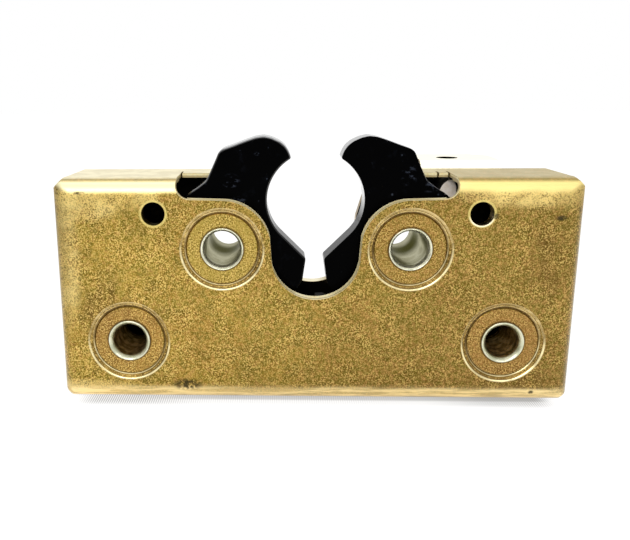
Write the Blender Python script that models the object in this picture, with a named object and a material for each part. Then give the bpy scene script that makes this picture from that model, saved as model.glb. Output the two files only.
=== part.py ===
"""Dual rotor latch: a folded steel housing with two forked rotors that close around a round striker.

Metres, +Z up. X runs across the housing, whose front faces -Y, and z = 0 is its flat underside. Depths
are measured from the front face, and an empty then sets the middle of the whole latch on the origin.
The latch is drawn shut: each rotor's notch is held by the nose of its pawl.
"""

from math import atan2, cos, degrees, pi, radians, sin

import bmesh
import bpy
from mathutils import Matrix, Vector

MM = 0.001

# Housing: one blank, folded to a pan 3/4 in deep.
WIDTH, HEIGHT, DEPTH = 114.3, 50.6, 19.05
SHEET = 3.0
BEND_OUTER = 4.0
CORNER_CUT = 2.4
RECESS_DEPTH = 0.6
RECESS_TOP_R, RECESS_FLOOR_R = 8.8, 7.75
SMALL_HOLE_X, SMALL_HOLE_Z, SMALL_HOLE_R = 35.0, 43.1, 2.55
MOUTH_FLOOR_Z, MOUTH_HALF = 46.1, 30.2
MOUTH_REAR_Y = 10.5
THROAT_HALF = 13.0
LIP_HALF, LIP_Z = 34.0, 49.6
U_R, U_Z = 9.65, 33.7

# The two pivot pairs.
ROTOR_X, ROTOR_Z = 20.3, 35.3
PAWL_X, PAWL_Z = 41.4, 14.3

# Layers through the depth, front to back, with the running clearances between them.
GAP = 0.3
MOVING_Y0 = SHEET + RECESS_DEPTH + GAP
MOVING_Y1 = MOVING_Y0 + 6.3
BACK_Y0, BACK_Y1 = DEPTH - SHEET, DEPTH
LEVER_Y0 = DEPTH + GAP
LEVER_Y1 = LEVER_Y0 + SHEET
BUSHING_END_Y = 23.75
EAR_END_Y = 36.2

# Bushings: stepped tubes, staked over at the front.
ROTOR_BORE_R, PAWL_BORE_R = 3.8, 3.5
NECK_R, BODY_R, RIM_R = 4.35, 5.05, 4.85
HOLE_R = NECK_R + 0.15
PIVOT_FIT = 0.3
SPACER_R = 5.9

# Rotor form.
JAW_R, JAW_Z = 10.6, 45.3
HUB_R, NOTCH_R = 14.0, 12.3
RELEASE_DEG = 10.0

# Where the two pawls meet, and the release lever's stud and lug.
LINK_Z, LINK_R, SOCKET_R = 18.6, 2.2, 2.9
STUD_R, STUD_DX, STUD_DZ = 2.0, -10.5, 0.7
LUG_Y0 = 11.2
LUG = [(28.4, 46.3), (28.9, 47.9), (31.3, 48.75), (32.6, 47.9), (32.9, 46.0), (31.6, 44.5), (29.8, 44.9)]

# The fixed pins that each spring's tail hooks on.
PINS = {"rotor_spring_pin": (37.2, 36.8), "pawl_spring_pin": (50.6, 27.2)}
PIN_R, PIN_NECK_R = 2.0, 1.5

GOLD = ("yellow_zinc", (0.55, 0.38, 0.12), 0.35, 0.9)
BLACK = ("black_oxide", (0.012, 0.012, 0.014), 0.28, 0.4)
PALE = ("pale_zinc", (0.62, 0.62, 0.55), 0.3, 0.9)
STEEL = ("spring_steel", (0.4, 0.4, 0.42), 0.35, 1.0)


def material(node, look):
    """A material of its own for one piece: colour, roughness and metallic value."""
    colour, roughness, metallic = look[1:]
    made = bpy.data.materials.new(f"{look[0]}_{node}")
    made.use_nodes = True
    shader = made.node_tree.nodes["Principled BSDF"]
    shader.inputs["Base Color"].default_value = (*colour, 1)
    shader.inputs["Roughness"].default_value = roughness
    shader.inputs["Metallic"].default_value = metallic
    return made


def add(name, data, look=None, origin=(0, 0, 0)):
    """Links an object whose mesh is in world place, with its origin moved to the point given in mm."""
    obj = bpy.data.objects.new(name, data)
    bpy.context.collection.objects.link(obj)
    obj.parent = bpy.data.objects["latch"]
    shift = Vector(origin) * MM
    if shift.length:
        data.transform(Matrix.Translation(-shift))
        obj.location = shift
    if look:
        data.materials.append(material(name, look))
    else:
        obj.hide_render = True
        obj.display_type = "WIRE"
    return obj


def arc(x, z, radius, start, end, steps):
    """Points on an arc in the XZ plane, from one angle to another in degrees."""
    return [
        (x + radius * cos(radians(a)), z + radius * sin(radians(a)))
        for a in (start + (end - start) * i / steps for i in range(steps + 1))
    ]


def mirror(points):
    return [(-x, z) for x, z in reversed(points)]


def slab(bm, outline, y0, y1):
    """Extrudes an XZ outline from y0 to y1."""
    bottom = [bm.verts.new((x * MM, y0 * MM, z * MM)) for x, z in outline]
    face = bm.faces.new(bottom)
    made = bmesh.ops.extrude_face_region(bm, geom=[face])
    top = [v for v in made["geom"] if isinstance(v, bmesh.types.BMVert)]
    bmesh.ops.translate(bm, verts=top, vec=(0, (y1 - y0) * MM, 0))


def disc(bm, x, z, r0, r1, y0, y1, segments=48):
    """A cylinder or cone frustum along Y."""
    bmesh.ops.create_cone(
        bm,
        cap_ends=True,
        segments=segments,
        radius1=r0 * MM,
        radius2=r1 * MM,
        depth=(y1 - y0) * MM,
        matrix=Matrix.Translation(Vector((x, (y0 + y1) / 2, z)) * MM) @ Matrix.Rotation(-pi / 2, 4, "X"),
    )


def mesh_of(name, bm):
    bmesh.ops.recalc_face_normals(bm, faces=bm.faces)
    mesh = bpy.data.meshes.new(name)
    bm.to_mesh(mesh)
    bm.free()
    return mesh


def smooth(obj, angle=32):
    obj.data.shade_smooth()
    obj.data.set_sharp_from_angle(angle=radians(angle))


def boolean(obj, cutter, operation="DIFFERENCE"):
    modifier = obj.modifiers.new(cutter.name, "BOOLEAN")
    modifier.object = cutter
    modifier.operation = operation


def turned(name, x, z, profile, look, segments=40):
    """A turned piece about a Y axis: profile is a closed loop of (radius, y) pairs."""
    bm = bmesh.new()
    verts = [bm.verts.new((r * MM, y * MM, 0)) for r, y in profile]
    edges = [bm.edges.new((verts[i], verts[(i + 1) % len(verts)])) for i in range(len(verts))]
    bmesh.ops.spin(
        bm,
        geom=verts + edges,
        cent=(0, 0, 0),
        axis=(0, 1, 0),
        angle=2 * pi,
        steps=segments,
        use_merge=True,
    )
    bmesh.ops.remove_doubles(bm, verts=bm.verts, dist=1e-6)
    obj = add(name, mesh_of(name, bm), look)
    obj.location = Vector((x, 0, z)) * MM
    smooth(obj)
    return obj


def pan():
    """The folded shell: rectangular rings that follow the outer bend, the rim and the inner bend."""
    bm = bmesh.new()

    def ring(inset, y):
        a, z0, z1 = WIDTH / 2 - inset, inset, HEIGHT - inset
        corners = ((-a, z0), (a, z0), (a, z1), (-a, z1))
        return [bm.verts.new((x * MM, y * MM, z * MM)) for x, z in corners]

    steps = 7
    turns = [pi / 2 * k / steps for k in range(steps + 1)]
    inner_r = BEND_OUTER - SHEET
    rings = [ring(BEND_OUTER * (1 - sin(t)), BEND_OUTER * (1 - cos(t))) for t in turns]
    rings.append(ring(0, DEPTH))
    rings.append(ring(SHEET, DEPTH))
    for t in reversed(turns[::2]):
        rings.append(ring(SHEET + inner_r * (1 - sin(t)), SHEET + inner_r * (1 - cos(t))))
    for one, two in zip(rings, rings[1:]):
        for i in range(4):
            j = (i + 1) % 4
            bm.faces.new((one[i], one[j], two[j], two[i]))
    bm.faces.new(rings[0])
    bm.faces.new(rings[-1])
    return mesh_of("front_housing", bm)


def mouth_outline(half, top):
    """The front opening: a shallow mouth that drops round the bushings into a U for the striker."""
    right = arc(0, U_Z, U_R, -90, 0, 14)[1:]
    right += arc(ROTOR_X, ROTOR_Z, ROTOR_X - U_R, 180 - 14, 90, 12)
    right += arc(half - 3.2, MOUTH_FLOOR_Z + 3.2, 3.2, -90, 0, 6)
    right += [(half, top - 1.2), (half - 0.6, top + 3)]
    return [(0, U_Z - U_R)] + right + mirror(right)


def pivots():
    return [(s * x, z) for x, z in ((ROTOR_X, ROTOR_Z), (PAWL_X, PAWL_Z)) for s in (-1, 1)]


def build_housing():
    housing = add("front_housing", pan(), GOLD)
    smooth(housing, 25)

    bm = bmesh.new()
    for x, z in pivots():
        disc(bm, x, z, RECESS_TOP_R + 0.4, RECESS_FLOOR_R + 0.4, SHEET - 0.4, SHEET + RECESS_DEPTH)
    boolean(housing, add("recess_backs", mesh_of("recess_backs", bm)), "UNION")

    # The cone starts a little in front of the face, where it is a little wider.
    bm = bmesh.new()
    for x, z in pivots():
        disc(bm, x, z, RECESS_TOP_R + 0.175, RECESS_FLOOR_R, -0.1, RECESS_DEPTH)
    boolean(housing, add("recess_fronts", mesh_of("recess_fronts", bm)))

    bm = bmesh.new()
    for x, z in pivots():
        disc(bm, x, z, HOLE_R, HOLE_R, -1, SHEET + 2)
    for side in (-1, 1):
        disc(bm, side * SMALL_HOLE_X, SMALL_HOLE_Z, SMALL_HOLE_R, SMALL_HOLE_R, -1, SHEET + 2, 32)
    boolean(housing, add("front_holes", mesh_of("front_holes", bm)))

    bm = bmesh.new()
    slab(bm, mouth_outline(MOUTH_HALF, HEIGHT), -1, MOUTH_REAR_Y)
    boolean(housing, add("mouth_cut", mesh_of("mouth_cut", bm)))

    bm = bmesh.new()
    a = THROAT_HALF
    slab(bm, [(-a, HEIGHT - 6), (a, HEIGHT - 6), (a, HEIGHT + 2), (-a, HEIGHT + 2)], 5, DEPTH + 2)
    boolean(housing, add("throat_cut", mesh_of("throat_cut", bm)))

    # Behind the mouth the top flange is coined down to a thin lip, so that the lever's lug swings under it.
    bm = bmesh.new()
    slab(bm, [(-LIP_HALF, 45.0), (LIP_HALF, 45.0), (LIP_HALF, LIP_Z), (-LIP_HALF, LIP_Z)], 8, DEPTH + 1)
    boolean(housing, add("lip_cut", mesh_of("lip_cut", bm)))
    bm = bmesh.new()
    slab(bm, [(27.3, 49.0), (27.75, 49.0), (27.75, 51.0), (27.3, 51.0)], 10, 16)
    boolean(housing, add("lip_slit", mesh_of("lip_slit", bm)))

    # Each corner of the blank is nipped off at 45 degrees, and the long flanges taper at their ends.
    bm = bmesh.new()
    w, c = WIDTH / 2, CORNER_CUT
    for sx in (-1, 1):
        for top in (False, True):
            z0, out = (HEIGHT, 1) if top else (0, -1)
            nip = [
                (sx * (w - c - 0.01), z0 + out * 0.01),
                (sx * (w + 0.01), z0 - out * c),
                (sx * (w + 3), z0 + out * 3),
            ]
            slab(bm, nip, -1, DEPTH + 1)
    boolean(housing, add("corner_nips", mesh_of("corner_nips", bm)))

    bm = bmesh.new()
    for sx in (-1, 1):
        for z0, z1 in ((-1, SHEET + 0.4), (HEIGHT - SHEET - 0.4, HEIGHT + 1)):
            near, far = BEND_OUTER + 0.4, DEPTH + 1
            plan = [(w + 2, near), (w - 3.6, near), (w - 8.6, far), (w + 2, far)]
            low = [bm.verts.new((sx * x * MM, y * MM, z0 * MM)) for x, y in plan]
            made = bmesh.ops.extrude_face_region(bm, geom=[bm.faces.new(low)])
            high = [v for v in made["geom"] if isinstance(v, bmesh.types.BMVert)]
            bmesh.ops.translate(bm, verts=high, vec=(0, 0, (z1 - z0) * MM))
    boolean(housing, add("flange_end_cuts", mesh_of("flange_end_cuts", bm)))
    return housing


def arc_slot(x, z, radius, start, end, half):
    """A slot of constant width along an arc, with round ends."""
    outer = arc(x, z, radius + half, start, end, 8)
    inner = arc(x, z, radius - half, end, start, 8)
    cap_end = arc(*arc(x, z, radius, end, end, 1)[0], half, end, end + 180, 6)[1:-1]
    cap_start = arc(*arc(x, z, radius, start, start, 1)[0], half, start + 180, start + 360, 6)[1:-1]
    return outer + cap_end + inner + cap_start


def build_back_plate():
    """A flat plate inside the flanges, with the striker's U and a top corner cut for the lever's lug."""
    side, low, high = WIDTH / 2 - SHEET - GAP, SHEET + GAP, HEIGHT - SHEET - GAP
    u = arc(0, U_Z, U_R + 0.2, 0, -90, 14) + arc(0, U_Z, U_R + 0.2, -90, -180, 14)[1:]
    lip = LIP_Z - GAP
    outline = (
        [(-side, low), (side, low), (side, high), (35.5, high), (34.0, 43.2)]
        + [(27.0, 39.6), (22.0, 39.2), (18.4, 42.8), (18.0, lip), (THROAT_HALF, lip)]
        + [(U_R + 0.2, U_Z + 6)]
        + u
        + [(-U_R - 0.2, U_Z + 6), (-THROAT_HALF, lip), (-LIP_HALF + 0.6, lip), (-LIP_HALF + 0.6, high)]
        + [(-side, high)]
    )
    bm = bmesh.new()
    slab(bm, outline, BACK_Y0, BACK_Y1)
    plate = add("back_plate", mesh_of("back_plate", bm), GOLD)
    bm = bmesh.new()
    for x, z in pivots():
        disc(bm, x, z, HOLE_R + 0.2, HOLE_R + 0.2, BACK_Y0 - 1, BACK_Y1 + 1)
    for x, z in PINS.values():
        for s in (-1, 1):
            disc(bm, s * x, z, PIN_NECK_R + 0.2, PIN_NECK_R + 0.2, BACK_Y0 - 1, BACK_Y1 + 1, 24)
    start = 180 - degrees(atan2(STUD_DZ, -STUD_DX))
    reach = (STUD_DX**2 + STUD_DZ**2) ** 0.5
    slot = arc_slot(PAWL_X, PAWL_Z, reach, start - 2, start + RELEASE_DEG + 2, STUD_R + 0.4)
    slab(bm, slot, BACK_Y0 - 1, BACK_Y1 + 1)
    boolean(plate, add("back_holes", mesh_of("back_holes", bm)))
    smooth(plate, 30)


def flat_piece(name, outline, holes, y0, y1, look, origin, edge=0.0):
    """A stamped piece: outline extruded through its thickness, round holes, and softened edges."""
    bm = bmesh.new()
    slab(bm, outline, y0, y1)
    obj = add(name, mesh_of(name, bm), look, origin)
    cut = bmesh.new()
    for x, z, r in holes:
        disc(cut, x, z, r, r, y0 - 1, y1 + 1, 40)
    boolean(obj, add(name + "_bores", mesh_of(name + "_bores", cut)))
    if edge:
        bevel = obj.modifiers.new("edge", "BEVEL")
        bevel.width = edge * MM
        bevel.segments = 1
        bevel.limit_method = "ANGLE"
        bevel.angle_limit = radians(40)
    smooth(obj, 30)
    return obj


def rotor_outline():
    """The left rotor about its own pivot: horn, jaw, finger, notched hub and back, anticlockwise."""
    jaw_x, jaw_z = ROTOR_X, JAW_Z - ROTOR_Z
    horn_tip = (14.75, 19.2)
    jaw_start = degrees(atan2(horn_tip[1] - jaw_z, horn_tip[0] - jaw_x))
    jaw = arc(jaw_x, jaw_z, JAW_R, jaw_start, 222, 12)
    finger = [(18.33, -2.96), (17.95, -5.6), (17.6, -8.2), (16.6, -9.9), (14.6, -11.2), (9.5, -12.2)]
    relief = arc(0, 0, NOTCH_R, 302, 262, 8)[1:]
    hub = arc(0, 0, HUB_R, 261.5, 140, 22)
    back = [(-7.6, 11.6), (-5.5, 12.9), (-3.5, 14.4), (-2.75, 16.0), (-2.2, 17.2), (-1.2, 19.4)]
    crown = [(-0.75, 20.5), (0.1, 21.2), (2.3, 21.95), (5.1, 23.0), (7.2, 23.7), (9.0, 23.95), (10.7, 23.6)]
    crown += [(12.45, 22.8), (13.6, 21.9), (14.35, 20.8), (14.85, 19.6)]
    outline = jaw + finger + relief + hub + back + crown
    return list(reversed(outline))


def pawl_outline(fork):
    """The left pawl in place: hub, spring tail, nose under the rotor, and the link end at the middle."""
    hub = arc(-PAWL_X, PAWL_Z, 8.0, 160, 310, 16)
    low = [(-28.0, 11.8), (-16.0, 13.6), (-7.0, 14.6)]
    if fork:
        link = [(-4.6, 14.2), (-2.2, 13.7), (-0.3, 14.0)]
        link += arc(0, LINK_Z, SOCKET_R, 265, 95, 12)
        link += [(-0.3, 23.2 - 0.4), (-2.4, 22.9), (-4.8, 21.6)]
    else:
        link = [(-4.2, 16.0), (-3.2, LINK_Z - 1.4), (-1.9, LINK_Z - 1.3)]
        link += arc(0, LINK_Z, LINK_R, 215, 505, 14)
        link += [(-1.9, LINK_Z + 1.3), (-3.2, LINK_Z + 1.4), (-4.6, 20.4)]
    nose = [(-10.0, 20.0), (-16.0, 19.4), (-17.1, 21.9), (-17.9, 22.5)]
    nose += [(-19.6, 22.5), (-20.3, 22.1), (-20.8, 19.8)]
    top = [(-25.5, 18.9), (-31.0, 19.0), (-36.6, 22.4)]
    tail = [(-41.0, 23.0), (-45.2, 25.4), (-48.2, 24.6), (-48.6, 21.6)]
    return hub + low + link + nose + top + tail


def build_moving():
    thick = (MOVING_Y0, MOVING_Y1)
    left = [(x - ROTOR_X, z + ROTOR_Z) for x, z in rotor_outline()]
    for name, outline, s in (("rotor_left", left, -1), ("rotor_right", mirror(left), 1)):
        x = s * ROTOR_X
        holes = [(x, ROTOR_Z, BODY_R + PIVOT_FIT)]
        flat_piece(name, outline, holes, *thick, BLACK, (x, 0, ROTOR_Z), 0.35)
    pawl_hole = (BODY_R + PIVOT_FIT,)
    flat_piece(
        "pawl_left", pawl_outline(False), [(-PAWL_X, PAWL_Z, *pawl_hole)], *thick, BLACK, (-PAWL_X, 0, PAWL_Z)
    )
    stud = (PAWL_X + STUD_DX, PAWL_Z + STUD_DZ, STUD_R + 0.3)
    flat_piece(
        "pawl_right",
        mirror(pawl_outline(True)),
        [(PAWL_X, PAWL_Z, *pawl_hole), stud],
        *thick,
        BLACK,
        (PAWL_X, 0, PAWL_Z),
    )


def build_lever():
    """The release lever behind the back plate: a flat arm on the right pawl's bushing, an ear bent back
    over a rounded fold, and a lug bent forward that shows through the front opening."""
    bend_in, bend_out = 1.5, 1.5 + SHEET
    top = 52.3
    fold_z = top - bend_out
    arm = arc(PAWL_X, PAWL_Z, 8.2, 170, 370, 16)
    arm += [(47.6, 24.0), (44.6, 36.0), (44.2, fold_z), (25.6, fold_z), (26.6, 46.0), (29.8, 42.5)]
    arm += [(31.0, 36.0), (31.0, 30.0)]
    bm = bmesh.new()
    slab(bm, arm, LEVER_Y0, LEVER_Y1)
    lever = add("release_lever", mesh_of("release_lever", bm), GOLD, (PAWL_X, 0, PAWL_Z))

    # The ear: a folded strip with a tapered end, drawn as its side profile and swept across X.
    y_mid = LEVER_Y0 + bend_out
    turns = [pi / 2 * k / 6 for k in range(7)]
    outer = [(y_mid - bend_out * cos(t), fold_z + bend_out * sin(t)) for t in turns]
    inner = [(y_mid - bend_in * cos(t), fold_z + bend_in * sin(t)) for t in reversed(turns)]
    side = [(LEVER_Y0, fold_z - 1.0)] + outer + [(EAR_END_Y, top), (EAR_END_Y, top - SHEET)]
    side += inner + [(LEVER_Y1, fold_z - 1.0)]
    bm = bmesh.new()
    near = [bm.verts.new((25.6 * MM, y * MM, z * MM)) for y, z in side]
    made = bmesh.ops.extrude_face_region(bm, geom=[bm.faces.new(near)])
    far = [v for v in made["geom"] if isinstance(v, bmesh.types.BMVert)]
    bmesh.ops.translate(bm, verts=far, vec=(18.6 * MM, 0, 0))
    boolean(lever, add("ear_fold", mesh_of("ear_fold", bm), None, (PAWL_X, 0, PAWL_Z)), "UNION")

    bm = bmesh.new()
    slab(bm, LUG, LUG_Y0, LEVER_Y0 + 1.0)
    boolean(lever, add("lug_bar", mesh_of("lug_bar", bm)), "UNION")

    bm = bmesh.new()
    y0, y1 = LEVER_Y0 - 1, LEVER_Y1 + 1
    bore, neck = NECK_R + 0.5, PIN_NECK_R + 0.15
    disc(bm, PAWL_X, PAWL_Z, bore, bore, y0, y1)
    disc(bm, PAWL_X + STUD_DX, PAWL_Z + STUD_DZ, neck, neck, y0, y1, 24)
    boolean(lever, add("lever_bores", mesh_of("lever_bores", bm)))

    bm = bmesh.new()
    bmesh.ops.create_cone(
        bm,
        cap_ends=True,
        segments=32,
        radius1=2.55 * MM,
        radius2=2.55 * MM,
        depth=8 * MM,
        matrix=Matrix.Translation(Vector((33.0, 27.0, top - 1)) * MM),
    )
    for x0, x1, y in ((23.0, 28.6, 37.0), (46.6, 38.6, 37.0)):
        wedge = [(x0, 30.5), (x1, y), (x0, y)]
        low = [bm.verts.new((x * MM, q * MM, 47 * MM)) for x, q in wedge]
        made = bmesh.ops.extrude_face_region(bm, geom=[bm.faces.new(low)])
        high = [v for v in made["geom"] if isinstance(v, bmesh.types.BMVert)]
        bmesh.ops.translate(bm, verts=high, vec=(0, 0, 8 * MM))
    boolean(lever, add("ear_cuts", mesh_of("ear_cuts", bm)))
    smooth(lever, 30)

    profile = [(0, MOVING_Y0 + 0.6), (STUD_R - 0.4, MOVING_Y0 + 0.6), (STUD_R, MOVING_Y0 + 1.0)]
    profile += [(STUD_R, LEVER_Y0 - GAP), (PIN_NECK_R, LEVER_Y0 - GAP), (PIN_NECK_R, LEVER_Y1 + 0.2)]
    profile += [(2.3, LEVER_Y1 + 0.2), (2.1, LEVER_Y1 + 0.8), (0, LEVER_Y1 + 1.0)]
    stud_at = (PAWL_X + STUD_DX, PAWL_Z + STUD_DZ)
    turned("lever_drive_stud", *stud_at, profile, PALE, 20)


def tube(bore, rear):
    """The half profile of a bushing: staked front rim, neck, body, then the rear end given."""
    front = [(bore, 0.75), (bore + 0.12, 0.3), (bore + 0.4, 0.05)]
    front += [(RIM_R - 0.35, 0.05), (RIM_R, 0.2), (RIM_R, 0.4), (NECK_R + 0.05, 0.45)]
    front += [(NECK_R, 0.6), (NECK_R, MOVING_Y0 - 0.05), (BODY_R, MOVING_Y0 - 0.05)]
    return front + [(BODY_R, BACK_Y0 - GAP), (NECK_R, BACK_Y0 - GAP)] + rear


def build_fixed():
    end = BUSHING_END_Y
    for side, s in (("left", -1), ("right", 1)):
        for kind, x, z, bore in (
            ("rotor", ROTOR_X, ROTOR_Z, ROTOR_BORE_R),
            ("pawl", PAWL_X, PAWL_Z, PAWL_BORE_R),
        ):
            collar_y = BACK_Y1 + GAP if (kind, s) != ("pawl", 1) else LEVER_Y1 + GAP
            collar = 5.6
            rear = [(NECK_R, collar_y), (collar, collar_y), (collar, end - 0.4)]
            rear += [(collar - 0.4, end), (bore, end)]
            turned(f"{kind}_bushing_{side}", s * x, z, tube(bore, rear), PALE, 30)
            y0, y1 = MOVING_Y1 + GAP, BACK_Y0 - GAP
            inner = BODY_R + 0.2
            ring = [(inner, y0), (SPACER_R, y0), (SPACER_R, y1), (inner, y1)]
            turned(f"{kind}_spacer_{side}", s * x, z, ring, PALE, 24)
        for name, (x, z) in PINS.items():
            y0, y1, tail = SHEET + GAP, BACK_Y0 - GAP, BACK_Y1 - 0.1
            pin = [(0, y0), (PIN_R, y0), (PIN_R, y1), (PIN_NECK_R, y1), (PIN_NECK_R, tail), (0, tail)]
            turned(f"{name}_{side}", s * x, z, pin, PALE, 16)


def spring(name, s, x, z, tail_to, leg_angle, leg_reach):
    """A torsion spring round a spacer: one leg out to its pin, a coil of three turns, one leg over the
    moving piece. Drawn for the left side and mirrored by s."""
    mean, wire, turns, per = 6.75, 0.5, 3, 11
    y0, pitch = MOVING_Y1 + GAP + 0.9, 1.25
    start = degrees(atan2(tail_to[1] - z, tail_to[0] + x))
    sweep = 360 * turns + (leg_angle - start) % 360
    count = int(turns * per + 6)
    points = []
    for i in range(count + 1):
        a = radians(start + 90 + sweep * i / count - 90)
        y = y0 + (turns * pitch) * (1 - i / count)
        points.append((-x + mean * cos(a), y, z + mean * sin(a)))
    a = radians(start)
    tail = (tail_to[0], y0 + turns * pitch, tail_to[1])
    points.insert(0, tail)
    end = radians(start + sweep)
    points.append((-x + leg_reach * cos(end), y0, z + leg_reach * sin(end)))
    curve = bpy.data.curves.new(name, "CURVE")
    curve.dimensions = "3D"
    curve.bevel_depth = wire * MM
    curve.bevel_resolution = 0
    curve.use_fill_caps = True
    line = curve.splines.new("POLY")
    line.points.add(len(points) - 1)
    for point, (px, py, pz) in zip(line.points, points):
        point.co = (-s * px * MM, py * MM, pz * MM, 1)
    add(name, curve, STEEL)


def build_springs():
    for side, s in (("left", -1), ("right", 1)):
        x, z = PINS["rotor_spring_pin"]
        spring(f"rotor_spring_{side}", s, ROTOR_X, ROTOR_Z, (-x + 0.5, z - PIN_R - 0.9), 52, 12.5)
        x, z = PINS["pawl_spring_pin"]
        spring(f"pawl_spring_{side}", s, PAWL_X, PAWL_Z, (-x + PIN_R + 0.9, z + 0.8), 33, 10.5)


def main():
    for obj in list(bpy.data.objects):
        bpy.data.objects.remove(obj)
    latch = bpy.data.objects.new("latch", None)
    latch.location.y = -EAR_END_Y / 2 * MM
    bpy.context.collection.objects.link(latch)
    build_housing()
    build_back_plate()
    build_moving()
    build_lever()
    build_fixed()
    build_springs()


main()
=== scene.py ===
"""Dual rotor latch, dressed: a yellow zinc housing, two black rotors, pale bushings and a release lever.

Sizes are in millimetres: x across, depth back from the front face, z up from the underside.
"""

import bmesh
import bpy
import numpy as np
from mathutils import Matrix


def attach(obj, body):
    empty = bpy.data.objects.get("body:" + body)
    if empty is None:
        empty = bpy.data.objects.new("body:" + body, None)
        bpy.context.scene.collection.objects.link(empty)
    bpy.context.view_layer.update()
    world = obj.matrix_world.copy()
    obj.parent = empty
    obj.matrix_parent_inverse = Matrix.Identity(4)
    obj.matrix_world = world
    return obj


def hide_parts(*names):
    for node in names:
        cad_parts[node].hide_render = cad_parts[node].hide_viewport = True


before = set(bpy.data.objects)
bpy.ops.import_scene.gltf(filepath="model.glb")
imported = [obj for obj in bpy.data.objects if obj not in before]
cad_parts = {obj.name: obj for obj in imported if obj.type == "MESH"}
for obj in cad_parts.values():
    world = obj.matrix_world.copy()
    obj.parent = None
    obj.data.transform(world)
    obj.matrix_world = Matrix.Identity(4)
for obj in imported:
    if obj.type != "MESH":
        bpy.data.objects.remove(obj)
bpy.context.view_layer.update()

# Front housing. One blank of 3 mm steel, punched and folded to a shallow pan, then zinc plated and
# dipped in yellow chromate, which dries mottled. The mouth and the holes are punched from the front,
# so their front edges roll over, and a stepped ring is pressed in round each bushing.

WIDTH, HEIGHT, DEPTH, SHEET, BEND = 114.3, 50.6, 19.05, 3.0, 4.0
WHOLE_DEPTH = 36.2
NIP, CORNER = 2.4, 1.3
ROTOR_X, ROTOR_Z, PAWL_X, PAWL_Z = 20.3, 35.3, 41.4, 14.3
PIVOTS = [(s * x, z) for x, z in ((ROTOR_X, ROTOR_Z), (PAWL_X, PAWL_Z)) for s in (-1, 1)]
U_R, U_Z, MOUTH_HALF, MOUTH_Z, MOUTH_BACK = 9.65, 33.7, 30.2, 46.1, 10.5
LIP_HALF, LIP_Z, THROAT, COINED = 34.0, 49.6, 13.0, 1.35
BUSHING_HOLE_R, ROLLED_EDGE = 4.5, 0.42
SMALL_HOLE_X, SMALL_HOLE_Z, SMALL_HOLE_R = 35.0, 43.1, 2.55


def placed(points):
    """Millimetres turned to the frame's metres: the depth less half of the whole depth, all over 1000."""
    return (np.asarray(points, float) - (0, WHOLE_DEPTH / 2, 0)) / 1000


def skin(name, grids):
    """A closed mesh from grids of points, rows by columns. Each cell is one face, from corner (i, j) round
    to (i + 1, j), with the last row or column joined to the first where the grid is closed that way. Points
    that coincide are merged, flat openings are filled, and the faces are turned outwards."""
    verts, faces, start = [], [], 0
    for points, closed_rows, closed_columns in grids:
        rows, columns = points.shape[:2]
        index = start + np.arange(rows * columns).reshape(rows, columns)
        index = np.vstack([index, index[:1]]) if closed_rows else index
        index = np.hstack([index, index[:, :1]]) if closed_columns else index
        corners = index[:-1, :-1], index[:-1, 1:], index[1:, 1:], index[1:, :-1]
        faces += np.stack(corners, -1).reshape(-1, 4).tolist()
        verts.append(placed(points.reshape(-1, 3)))
        start += rows * columns
    mesh = bpy.data.meshes.new(name)
    mesh.from_pydata(np.concatenate(verts).tolist(), [], faces)
    work = bmesh.new()
    work.from_mesh(mesh)
    bmesh.ops.remove_doubles(work, verts=work.verts, dist=2e-6)
    open_edges = [edge for edge in work.edges if edge.is_boundary]
    levels = {}
    for edge in open_edges:
        levels.setdefault(round((edge.verts[0].co.y + edge.verts[1].co.y) * 5e3), []).append(edge)
    for edges in levels.values():
        bmesh.ops.triangle_fill(work, edges=edges, use_beauty=True)
    bmesh.ops.recalc_face_normals(work, faces=work.faces)
    work.to_mesh(mesh)
    work.free()
    piece = bpy.data.objects.new(name, mesh)
    bpy.context.collection.objects.link(piece)
    return piece


def smoothed(piece, angle=32.0):
    """Shades the piece smooth, with a hard edge where faces meet at more than the angle, and lets wide
    flat faces set the normals of the narrow ones beside them."""
    piece.data.shade_smooth()
    piece.data.set_sharp_from_angle(angle=np.radians(angle))
    even = piece.modifiers.new("even shading", "WEIGHTED_NORMAL")
    even.keep_sharp = True
    even.weight = 90
    return piece


def cut(piece, tool, operation="DIFFERENCE"):
    """Takes the tool's shape out of the piece, or joins it on, and removes the tool."""
    change = piece.modifiers.new("cut", "BOOLEAN")
    change.object, change.operation, change.solver = tool, operation, "EXACT"
    seen = piece.evaluated_get(bpy.context.evaluated_depsgraph_get())
    piece.data = bpy.data.meshes.new_from_object(seen)
    piece.modifiers.clear()
    bpy.data.objects.remove(tool)


def arc(x, z, radius, start, end, count):
    """Points on a circle: centre plus radius times cosine and sine of evenly spaced angles in degrees."""
    turn = np.radians(np.linspace(start, end, count))
    return np.stack([x + radius * np.cos(turn), z + radius * np.sin(turn)], -1)


def mirrored(path):
    """The same path on the other side: x with its sign changed, in reverse order."""
    return (np.asarray(path, float) * (-1, 1))[::-1]


def eased(path, radius, count=4):
    """A closed path with each corner p eased to the curve a(1-t)^2 + 2pt(1-t) + bt^2, where a and b lie on
    the two sides, the radius away from p or 0.45 of the side where it is shorter."""
    path = np.asarray(path, float)
    back, ahead = np.roll(path, 1, 0) - path, np.roll(path, -1, 0) - path
    back_length = np.linalg.norm(back, axis=1, keepdims=True)
    ahead_length = np.linalg.norm(ahead, axis=1, keepdims=True)
    a = path + back / back_length * np.minimum(radius, 0.45 * back_length)
    b = path + ahead / ahead_length * np.minimum(radius, 0.45 * ahead_length)
    t = np.linspace(0, 1, count)[None, :, None]
    curve = a[:, None] * (1 - t) ** 2 + 2 * path[:, None] * t * (1 - t) + b[:, None] * t**2
    return curve.reshape(-1, 2)


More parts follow.
